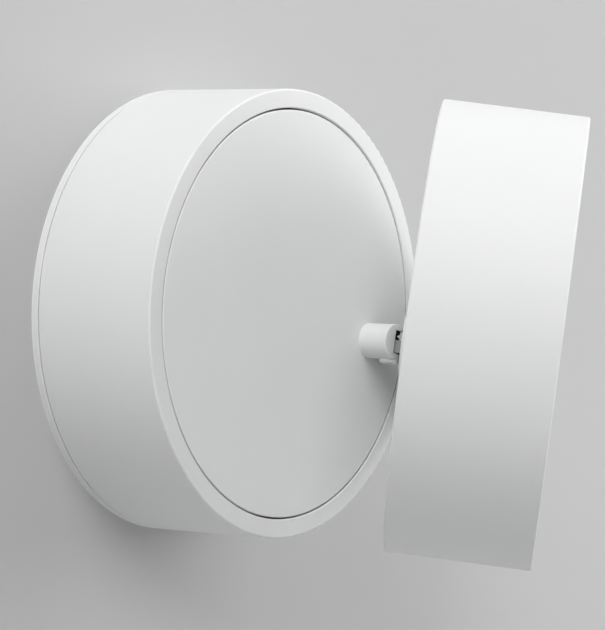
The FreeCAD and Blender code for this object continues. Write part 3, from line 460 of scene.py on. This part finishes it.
def turned_group():
    """Fine rings round a turning axis: sin(2 pi r / pitch), broken up a little by noise."""
    if "turned_rings" in bpy.data.node_groups:
        return bpy.data.node_groups["turned_rings"]
    group, start, end = effect_group(
        "turned_rings",
        [("Centre", "NodeSocketVector", (0, 0, 0)), ("Along", "NodeSocketVector", (0, 0, 1)),
         ("Pitch", "NodeSocketFloat", 0.0004)],
        [("Height", "NodeSocketFloat"), ("Streak", "NodeSocketFloat")])
    places = object_places(group)
    offset = vector_node(group, "SUBTRACT", places, start.outputs["Centre"]).outputs["Vector"]
    across = vector_node(group, "CROSS_PRODUCT", offset, start.outputs["Along"]).outputs["Vector"]
    radius = vector_node(group, "LENGTH", across).outputs["Value"]
    turns = math_node(group, "DIVIDE", radius, start.outputs["Pitch"])
    shifted = math_node(group, "ADD", turns, noise(group, places, RING_WOBBLE_SCALE))
    wave = math_node(group, "SINE", math_node(group, "MULTIPLY", shifted, 2 * math.pi))
    streaks = group.nodes.new("ShaderNodeTexNoise")
    streaks.noise_dimensions = "1D"
    streaks.inputs["Detail"].default_value = 3.0
    streaks.inputs["Scale"].default_value = 1.0
    group.links.new(turns, streaks.inputs["W"])
    group.links.new(ranged(group, wave, -1.0, 1.0), end.inputs["Height"])
    group.links.new(ranged(group, streaks.outputs["Fac"], 0.3, 0.7), end.inputs["Streak"])
    return group


# ------------------------------------------------------------------ materials
def only_node(tree, kind):
    """The first node of a kind in a tree that Blender made."""
    return next(node for node in tree.nodes if node.type == kind)


def new_material(name):
    """A new material with its node tree and its Principled shader."""
    material = bpy.data.materials.new(name)
    material.use_nodes = True
    tree = material.node_tree
    return material, tree, only_node(tree, "BSDF_PRINCIPLED")


def placed(tree, group, **values):
    """Puts a shared effect into a material with its own values."""
    node = tree.nodes.new("ShaderNodeGroup")
    node.node_tree = group
    for name, value in values.items():
        node.inputs[name.replace("_", " ").title()].default_value = value
    return node.outputs


def blended(tree, mask, first, second):
    """Colour from first to second by a mask; each is a colour or a socket."""
    node = tree.nodes.new("ShaderNodeMix")
    node.data_type = "RGBA"
    colour_inputs = [socket for socket in node.inputs if socket.type == "RGBA"]
    for socket, value in zip(colour_inputs, (first, second)):
        if isinstance(value, tuple):
            socket.default_value = (*value, 1.0)
        else:
            tree.links.new(value, socket)
    tree.links.new(mask, node.inputs["Factor"])
    return next(socket for socket in node.outputs if socket.type == "RGBA")


def bumped(tree, shader, height, depth):
    """Surface relief: the height goes from 0 to 1 and the depth is in metres."""
    node = tree.nodes.new("ShaderNodeBump")
    node.inputs["Distance"].default_value = depth
    tree.links.new(height, node.inputs["Height"])
    tree.links.new(node.outputs["Normal"], shader.inputs["Normal"])


def shade_of(colour, factor):
    """A lighter or darker tone of a colour."""
    return tuple(min(1.0, channel * factor) for channel in colour[:3])


def powder_coat(name, rims=()):
    """White powder coat: fine grain, slow clouding, and a painted highlight along the rims, where the coat is
    also glossier.
    """
    settings = bpy.context.scene.spotlight_coat
    material, tree, shader = new_material(name)
    colour = tuple(settings.colour)
    shader.inputs["IOR"].default_value = 1.5
    shader.inputs["Specular IOR Level"].default_value = 0.35
    grain = placed(tree, grain_group(), grain_size=settings.grain, cloud_size=COAT_CLOUD_SIZE)
    dark, light = (shade_of(colour, factor) for factor in COAT_CLOUD_TONES)
    tone = blended(tree, grain["Cloud"], dark, light)
    pits = math_node(tree, "MULTIPLY", grain["Grain"], COAT_GRAIN_SHARE)
    tone = blended(tree, pits, tone, shade_of(colour, COAT_GRAIN_TONE))
    roughness = ranged(tree, grain["Cloud"], 0.0, 1.0, settings.roughness - COAT_ROUGHNESS_SPREAD,
                       settings.roughness + COAT_ROUGHNESS_SPREAD)
    for axis, radius, height in rims:
        rim = placed(tree, rim_group(), centre=tuple(axis.start), along=tuple(axis.along),
                     rim_radius=radius, rim_height=height, width=RIM_WIDTH)
        # Painted highlight: the rims are painted lighter, and their roughness is lowered.
        highlight_share = math_node(tree, "MULTIPLY", rim["Mask"], settings.wear)
        tone = blended(tree, highlight_share, tone, shade_of(colour, RIM_HIGHLIGHT_TONE))
        roughness = math_node(tree, "SUBTRACT", roughness, math_node(tree, "MULTIPLY", highlight_share, RIM_POLISH))
    tree.links.new(tone, shader.inputs["Base Color"])
    tree.links.new(roughness, shader.inputs["Roughness"])
    bumped(tree, shader, grain["Height"], settings.grain_depth)
    return material


def coat_with_slot_shade(name, centre, reach):
    """Powder coat that turns to dark grey metal within a reach of a point: painted shade on the tongue in the
    arm's slot.
    """
    material = powder_coat(name)
    tree = material.node_tree
    shader = only_node(tree, "BSDF_PRINCIPLED")
    coat_tone = shader.inputs["Base Color"].links[0].from_socket
    apart = vector_node(tree, "DISTANCE", object_places(tree))
    apart.inputs[1].default_value = tuple(centre)
    # Painted shade: near the pivot the tongue is painted dark grey metal.
    slot_shade = ranged(tree, apart.outputs["Value"], SLOT_SHADE_INNER_SHARE * reach, reach, 1.0, 0.0)
    tree.links.new(blended(tree, slot_shade, coat_tone, SLOT_SHADE_TONE), shader.inputs["Base Color"])
    tree.links.new(slot_shade, shader.inputs["Metallic"])
    return material


def plain_metal(name, colour, roughness, axis, pitch=0.35 * MM, depth=0.004 * MM):
    """Turned or plated metal: fine rings round an axis, streaks in tone and roughness."""
    material, tree, shader = new_material(name)
    shader.inputs["Metallic"].default_value = 1.0
    rings = placed(tree, turned_group(), centre=tuple(axis.start), along=tuple(axis.along), pitch=pitch)
    tone = blended(tree, rings["Streak"], shade_of(colour, 0.92), shade_of(colour, 1.06))
    tree.links.new(tone, shader.inputs["Base Color"])
    tree.links.new(ranged(tree, rings["Streak"], 0.0, 1.0, roughness - 0.06, roughness + 0.08),
                   shader.inputs["Roughness"])
    bumped(tree, shader, rings["Height"], depth)
    return material


def moulded(name, colour, roughness, grain=0.35 * MM, depth=0.008 * MM, spread=0.05):
    """Moulded plastic, ceramic or rubber: a fine sparked grain with a little change of tone."""
    material, tree, shader = new_material(name)
    texture = placed(tree, grain_group(), grain_size=grain, cloud_size=12 * MM)
    tone = blended(tree, texture["Cloud"], shade_of(colour, 1 - spread), shade_of(colour, 1 + spread))
    pits = math_node(tree, "MULTIPLY", texture["Grain"], 0.4)
    tone = blended(tree, pits, tone, shade_of(colour, 1 - 2 * spread))
    tree.links.new(tone, shader.inputs["Base Color"])
    tree.links.new(ranged(tree, texture["Grain"], 0.0, 1.0, roughness - 0.05, roughness + 0.05),
                   shader.inputs["Roughness"])
    bumped(tree, shader, texture["Height"], depth)
    return material


def striped_lead(name, first, second, pitch):
    """Lead insulation in two colours, in slanting bands along the lead."""
    material, tree, shader = new_material(name)
    places = object_places(tree)
    split = tree.nodes.new("ShaderNodeSeparateXYZ")
    tree.links.new(places, split.inputs["Vector"])
    across = math_node(tree, "ADD", split.outputs["Y"], split.outputs["Z"])
    along = math_node(tree, "ADD", split.outputs["X"], across)
    wave = math_node(tree, "SINE", math_node(tree, "MULTIPLY", along, 2 * math.pi / pitch))
    tone = blended(tree, ranged(tree, wave, -0.1, 0.1), first, second)
    texture = placed(tree, grain_group(), grain_size=0.4 * MM, cloud_size=5 * MM)
    tree.links.new(tone, shader.inputs["Base Color"])
    tree.links.new(ranged(tree, texture["Grain"], 0.0, 1.0, 0.35, 0.5), shader.inputs["Roughness"])
    return material


def circuit_board(name, mask_colour, track_colour):
    """Solder mask over copper tracks: a brick grid of tracks shows as slightly paler, raised lines."""
    material, tree, shader = new_material(name)
    places = object_places(tree)
    turned = tree.nodes.new("ShaderNodeMapping")
    turned.inputs["Rotation"].default_value = (math.pi / 2, 0, 0)
    tree.links.new(places, turned.inputs["Vector"])
    tracks = tree.nodes.new("ShaderNodeTexBrick")
    tracks.inputs["Scale"].default_value = 1.0
    tracks.inputs["Mortar Size"].default_value = 0.35 * MM
    tracks.inputs["Brick Width"].default_value = 6 * MM
    tracks.inputs["Row Height"].default_value = 2.4 * MM
    tree.links.new(turned.outputs["Vector"], tracks.inputs["Vector"])
    tone = blended(tree, tracks.outputs["Fac"], mask_colour, track_colour)
    texture = placed(tree, grain_group(), grain_size=0.5 * MM, cloud_size=8 * MM)
    tree.links.new(tone, shader.inputs["Base Color"])
    tree.links.new(ranged(tree, texture["Cloud"], 0.0, 1.0, 0.28, 0.4), shader.inputs["Roughness"])
    bumped(tree, shader, tracks.outputs["Fac"], 0.03 * MM)
    return material


def diffuser(name, axis):
    """Opal diffuser: a satin face that lets a little light in, with faint changes of gloss round its middle."""
    settings = bpy.context.scene.spotlight_lens
    material, tree, shader = new_material(name)
    colour = tuple(settings.colour)
    shader.inputs["IOR"].default_value = 1.49
    shader.inputs["Subsurface Weight"].default_value = 0.35
    shader.inputs["Subsurface Radius"].default_value = (1.0, 1.0, 1.0)
    shader.inputs["Subsurface Scale"].default_value = 2 * MM
    rings = placed(tree, turned_group(), centre=tuple(axis.start), along=tuple(axis.along),
                   pitch=settings.ring_pitch)
    grain = placed(tree, grain_group(), grain_size=0.3 * MM, cloud_size=20 * MM)
    tone = blended(tree, grain["Cloud"], shade_of(colour, 0.98), shade_of(colour, 1.01))
    tree.links.new(tone, shader.inputs["Base Color"])
    tree.links.new(ranged(tree, rings["Streak"], 0.0, 1.0, 0.30, 0.38), shader.inputs["Roughness"])
    bumped(tree, shader, grain["Height"], 0.003 * MM)
    return material


def slot_colour(slot):
    """The record's colour for a finish."""
    for entry in frame["record"]["materials"]:
        if entry["slot"] == slot:
            return tuple(entry["base_color"][:3])
    raise KeyError(slot)


# Roughness, grain size and spread of tone.
MOULDED_FINISHES = {
    "white_plastic": (0.45, 0.35 * MM, 0.02),
    "grey_plastic": (0.55, 0.35 * MM, 0.05),
    "bearing_plastic": (0.5, 0.5 * MM, 0.03),
    "ferrite": (0.75, 0.25 * MM, 0.15),
    "capacitor_sleeve": (0.3, 0.6 * MM, 0.05),
    "ceramic": (0.5, 0.3 * MM, 0.02),
    "phosphor_yellow": (0.6, 0.15 * MM, 0.06),
    "black_rubber": (0.7, 0.4 * MM, 0.12),
    "grey_rubber": (0.7, 0.4 * MM, 0.06),
    "brown_lead": (0.4, 0.4 * MM, 0.06),
    "blue_lead": (0.4, 0.4 * MM, 0.06),
    "black_lead": (0.45, 0.4 * MM, 0.1),
}
# Roughness.
METAL_FINISHES = {
    "zinc_steel": 0.34,
    "dark_steel": 0.45,
    "bare_aluminium": 0.36,
    "brass_clamp": 0.32,
    "tinned_copper": 0.38,
}


def finish_for(slot, axis):
    """The material of a finish slot on a body with this turning axis; each is made once."""
    place = "head" if axis is HEAD_AXIS else "base"
    name = slot + "_" + place
    if name in bpy.data.materials:
        return bpy.data.materials[name]
    if slot in MOULDED_FINISHES:
        roughness, grain, spread = MOULDED_FINISHES[slot]
        return moulded(name, slot_colour(slot), roughness, grain=grain, spread=spread)
    if slot in METAL_FINISHES:
        return plain_metal(name, slot_colour(slot), METAL_FINISHES[slot], axis)
    if slot == "bright_reflector":
        return plain_metal(name, slot_colour(slot), 0.14, axis, pitch=0.8 * MM, depth=0.002 * MM)
    if slot == "green_yellow_lead":
        return striped_lead(name, (0.10, 0.36, 0.08), (0.78, 0.66, 0.06), 5 * MM)
    if slot == "circuit_board":
        return circuit_board(name, slot_colour(slot), (0.16, 0.42, 0.22))
    if slot == "white_board":
        return moulded(name, slot_colour(slot), 0.35, grain=0.6 * MM, spread=0.01)
    return powder_coat(name)


def node_slot(name):
    """The record's finish slot of a frame node."""
    for entry in frame["record"]["subparts"]:
        if entry["node"] == name:
            return entry["material_slot"]
    raise KeyError(name)


def finish_nodes(names, axis):
    """Each node gets the material of its own finish slot."""
    for name in names:
        finish_node(name, finish_for(node_slot(name), axis))


# ------------------------------------------------------------------ sizes of the drums
DRUM_RADIUS = BASE_AXIS.radius("base_housing")
HOUSING_BACK, HOUSING_FRONT = BASE_AXIS.span("base_housing")
DISC_FRONT = BASE_AXIS.span("swivel_disc")[1]
DISC_RADIUS = BASE_AXIS.radius("swivel_disc")
HEAD_BACK, HEAD_FRONT = HEAD_AXIS.span("head_housing")
HEAD_RADIUS = HEAD_AXIS.radius("head_housing")
LENS_BACK, LENS_FRONT = HEAD_AXIS.span("front_lens")
LENS_RADIUS = HEAD_AXIS.radius("front_lens")


def drum_rims(axis, radius, back, front):
    """The two outer rims of a drum, where the coat gets its painted highlight."""
    return [(axis, radius, front), (axis, radius, back)]


# ------------------------------------------------------------------ operators
class BuildBaseDrum(bpy.types.Operator):
    """The cast drum on the wall and the plate behind it"""

    bl_idname = "spotlight.build_base_drum"
    bl_label = "Base drum and wall plate"

    def execute(self, context):
        rims = drum_rims(BASE_AXIS, DRUM_RADIUS, HOUSING_BACK, HOUSING_FRONT)
        coat = powder_coat("coat_base_drum", rims)
        finish_node("base_housing", coat)
        finish_node("wall_plate", coat)
        finish_nodes(["cable_grommet", "housing_grub_screws", "glide_washers"], BASE_AXIS)
        return {"FINISHED"}


class BuildSwivel(bpy.types.Operator):
    """The disc that turns in the drum's mouth, its spindle and the arm on it"""

    bl_idname = "spotlight.build_swivel"
    bl_label = "Swivel disc and arm"

    def execute(self, context):
        coat = powder_coat("coat_swivel_disc", [(BASE_AXIS, DISC_RADIUS, DISC_FRONT)])
        finish_node("swivel_disc", coat)
        finish_nodes(["pivot_arm", "pivot_screw", "hub_spindle", "spindle_screws", "disc_springs", "hub_washer",
                      "hub_nut", "stop_pin", "arm_washer", "arm_nut", "friction_washer", "tilt_springs",
                      "lead_lamp_swivel"], BASE_AXIS)
        return {"FINISHED"}


class BuildHead(bpy.types.Operator):
    """The lamp head's drum with its knuckle"""

    bl_idname = "spotlight.build_head"
    bl_label = "Lamp head"

    def execute(self, context):
        rims = drum_rims(HEAD_AXIS, HEAD_RADIUS, HEAD_BACK, HEAD_FRONT)
        finish_node("head_housing", powder_coat("coat_head_drum", rims))
        finish_node("knuckle_tongue", coat_with_slot_shade("coat_tongue", node_middle("pivot_screw"), SLOT_SHADE_REACH))
        finish_nodes(["lens_bezel", "boss_screws", "heat_sink", "heat_sink_screws", "led_board",
                      "led_emitter", "led_phosphor", "led_holder", "holder_screws", "reflector", "lens_gasket",
                      "lead_lamp_head"], HEAD_AXIS)
        return {"FINISHED"}


class BuildLens(bpy.types.Operator):
    """The opal diffuser in the head's mouth, with fine rings on its face"""

    bl_idname = "spotlight.build_lens"
    bl_label = "Diffuser"

    def execute(self, context):
        settings = context.scene.spotlight_lens
        outline = ringed_disc(LENS_RADIUS, LENS_BACK, LENS_FRONT, LENS_PLAIN_RIM, settings.ring_pitch,
                              settings.ring_depth)
        lens = turned_surface("ringed_lens", HEAD_AXIS, outline, LENS_SEGMENTS)
        paint(lens, diffuser("opal_lens_head", HEAD_AXIS))
        stand_for(lens, "front_lens", "head")
        return {"FINISHED"}


class FinishWiring(bpy.types.Operator):
    """The driver, the terminals and the leads inside the base"""

    bl_idname = "spotlight.finish_wiring"
    bl_label = "Driver and wiring"

    def execute(self, context):
        finish_nodes(["driver_case", "driver_lid", "driver_board", "driver_transformer", "driver_capacitors",
                      "driver_screws", "terminal_block", "terminal_clamps", "terminal_screws",
                      "terminal_fixings", "earth_tag", "earth_screw", "lead_live", "lead_neutral", "lead_earth",
                      "lead_lamp_base"], BASE_AXIS)
        return {"FINISHED"}


class SetStage(bpy.types.Operator):
    """The wall, the floor, the soft light and the camera"""

    bl_idname = "spotlight.set_stage"
    bl_label = "Studio and camera"

    def execute(self, context):
        settings = context.scene.spotlight_stage
        build_wall(settings)
        build_floor(settings)
        build_lights(settings)
        build_camera()
        return {"FINISHED"}


# ------------------------------------------------------------------ stage
def flat_sheet(name, corners):
    """A flat stage piece through four corners."""
    mesh = bpy.data.meshes.new(name)
    mesh.from_pydata(corners, [], [tuple(range(len(corners)))])
    piece = bpy.data.objects.new(name, mesh)
    bpy.context.scene.collection.objects.link(piece)
    return piece


def stage_material(name, colour, hide_behind):
    """Matt paint with faint changes of tone.

    A wall is clear when seen from behind, and to the shortest rays, which leave
    the plate's back, so that a view from behind shows that back in light.
    """
    material, tree, shader = new_material(name)
    texture = placed(tree, grain_group(), grain_size=1.5 * MM, cloud_size=0.4)
    tone = blended(tree, texture["Cloud"], shade_of(colour, 0.985), shade_of(colour, 1.015))
    tree.links.new(tone, shader.inputs["Base Color"])
    shader.inputs["Roughness"].default_value = 0.85
    shader.inputs["Specular IOR Level"].default_value = 0.2
    if hide_behind:
        clear = tree.nodes.new("ShaderNodeBsdfTransparent")
        side = tree.nodes.new("ShaderNodeNewGeometry")
        path = tree.nodes.new("ShaderNodeLightPath")
        mix = tree.nodes.new("ShaderNodeMixShader")
        output = only_node(tree, "OUTPUT_MATERIAL")
        short = math_node(tree, "LESS_THAN", path.outputs["Ray Length"], CLEAR_RAY)
        tree.links.new(math_node(tree, "MAXIMUM", side.outputs["Backfacing"], short), mix.inputs["Fac"])
        tree.links.new(shader.outputs["BSDF"], mix.inputs[1])
        tree.links.new(clear.outputs["BSDF"], mix.inputs[2])
        tree.links.new(mix.outputs["Shader"], output.inputs["Surface"])
    return material


def build_wall(settings):
    """A sheet that faces out of the wall, just behind the plate's back."""
    half = WALL_SPAN / 2
    drop = -settings.floor_drop
    wall = flat_sheet("studio_wall", [(-half, WALL_GAP, drop), (half, WALL_GAP, drop),
                                      (half, WALL_GAP, half), (-half, WALL_GAP, half)])
    paint(wall, stage_material("wall_paint", tuple(settings.wall_colour), True))


def build_floor(settings):
    """A level sheet well below the lamp, in the wall's colour."""
    half = WALL_SPAN / 2
    drop = -settings.floor_drop
    floor = flat_sheet("studio_floor", [(-half, -WALL_SPAN, drop), (half, -WALL_SPAN, drop),
                                        (half, WALL_SPAN, drop), (-half, WALL_SPAN, drop)])
    paint(floor, stage_material("floor_paint", tuple(settings.wall_colour), False))


def soft_box(name, place, width, power):
    """A square area light that looks at the target."""
    lamp = bpy.data.lights.new(name, "AREA")
    lamp.shape = "RECTANGLE"
    lamp.size = width
    lamp.size_y = width
    lamp.energy = power
    box = bpy.data.objects.new(name, lamp)
    box.location = place
    box.rotation_euler = (Vector(LIGHT_TARGET) - Vector(place)).to_track_quat("-Z", "Y").to_euler()
    bpy.context.scene.collection.objects.link(box)


def build_lights(settings):
    """Four soft boxes and the even light of the room."""
    soft_box("key_light", KEY_PLACE, BIG_BOX, settings.key_power)
    soft_box("top_light", TOP_PLACE, BIG_BOX, settings.top_power)
    soft_box("side_light", SIDE_PLACE, SMALL_BOX, settings.side_power)
    soft_box("back_light", BACK_PLACE, BIG_BOX, settings.back_power)
    world = bpy.data.worlds.new("studio_room")
    world.use_nodes = True
    background = only_node(world.node_tree, "BACKGROUND")
    background.inputs["Color"].default_value = (1.0, 1.0, 1.0, 1.0)
    background.inputs["Strength"].default_value = settings.room_light
    bpy.context.scene.world = world


def build_camera():
    """The camera with the place, yaw, pitch and focal length fitted to the photograph."""
    lens = bpy.data.cameras.new("photo_camera")
    lens.sensor_fit = "HORIZONTAL"
    lens.sensor_width = CAMERA_SENSOR
    lens.lens = CAMERA_FOCAL_PIXELS * CAMERA_SENSOR / PHOTO_WIDTH
    lens.shift_x = -HALF_PIXEL / PHOTO_WIDTH
    lens.shift_y = HALF_PIXEL / PHOTO_WIDTH
    lens.clip_start, lens.clip_end = CAMERA_CLIP
    camera = bpy.data.objects.new("photo_camera", lens)
    camera.location = CAMERA_PLACE
    level = math.cos(CAMERA_PITCH)
    ahead = Vector((math.sin(CAMERA_YAW) * level, math.cos(CAMERA_YAW) * level, math.sin(CAMERA_PITCH)))
    camera.rotation_euler = ahead.to_track_quat("-Z", "Y").to_euler()
    bpy.context.scene.collection.objects.link(camera)
    bpy.context.scene.camera = camera


# ------------------------------------------------------------------ panel and registration
class SpotlightPanel(bpy.types.Panel):
    """Settings and steps of the wall spotlight"""

    bl_idname = "VIEW3D_PT_spotlight"
    bl_label = "Pivoting wall spotlight"
    bl_space_type = "VIEW_3D"
    bl_region_type = "UI"
    bl_category = "Spotlight"

    def draw(self, context):
        layout = self.layout
        scene = context.scene
        for settings in (scene.spotlight_coat, scene.spotlight_lens, scene.spotlight_stage):
            box = layout.box()
            for name in settings.__annotations__:
                box.prop(settings, name)
        for step in STEPS:
            layout.operator(step.bl_idname)


STEPS = (BuildBaseDrum, BuildSwivel, BuildHead, BuildLens, FinishWiring, SetStage)
SETTINGS = (SpotlightCoat, SpotlightLens, SpotlightStage)


def register():
    for kind in SETTINGS + STEPS + (SpotlightPanel,):
        bpy.utils.register_class(kind)
    bpy.types.Scene.spotlight_coat = bpy.props.PointerProperty(type=SpotlightCoat)
    bpy.types.Scene.spotlight_lens = bpy.props.PointerProperty(type=SpotlightLens)
    bpy.types.Scene.spotlight_stage = bpy.props.PointerProperty(type=SpotlightStage)


def unregister():
    del bpy.types.Scene.spotlight_stage
    del bpy.types.Scene.spotlight_lens
    del bpy.types.Scene.spotlight_coat
    for kind in reversed(SETTINGS + STEPS + (SpotlightPanel,)):
        bpy.utils.unregister_class(kind)


def main():
    """Builds the whole scene with the add-on's own operators."""
    register()
    bpy.ops.spotlight.build_base_drum()
    bpy.ops.spotlight.build_swivel()
    bpy.ops.spotlight.build_head()
    bpy.ops.spotlight.build_lens()
    bpy.ops.spotlight.finish_wiring()
    bpy.ops.spotlight.set_stage()
    bpy.context.scene.view_settings.view_transform = "Standard"


if __name__ == "__main__":
    main()
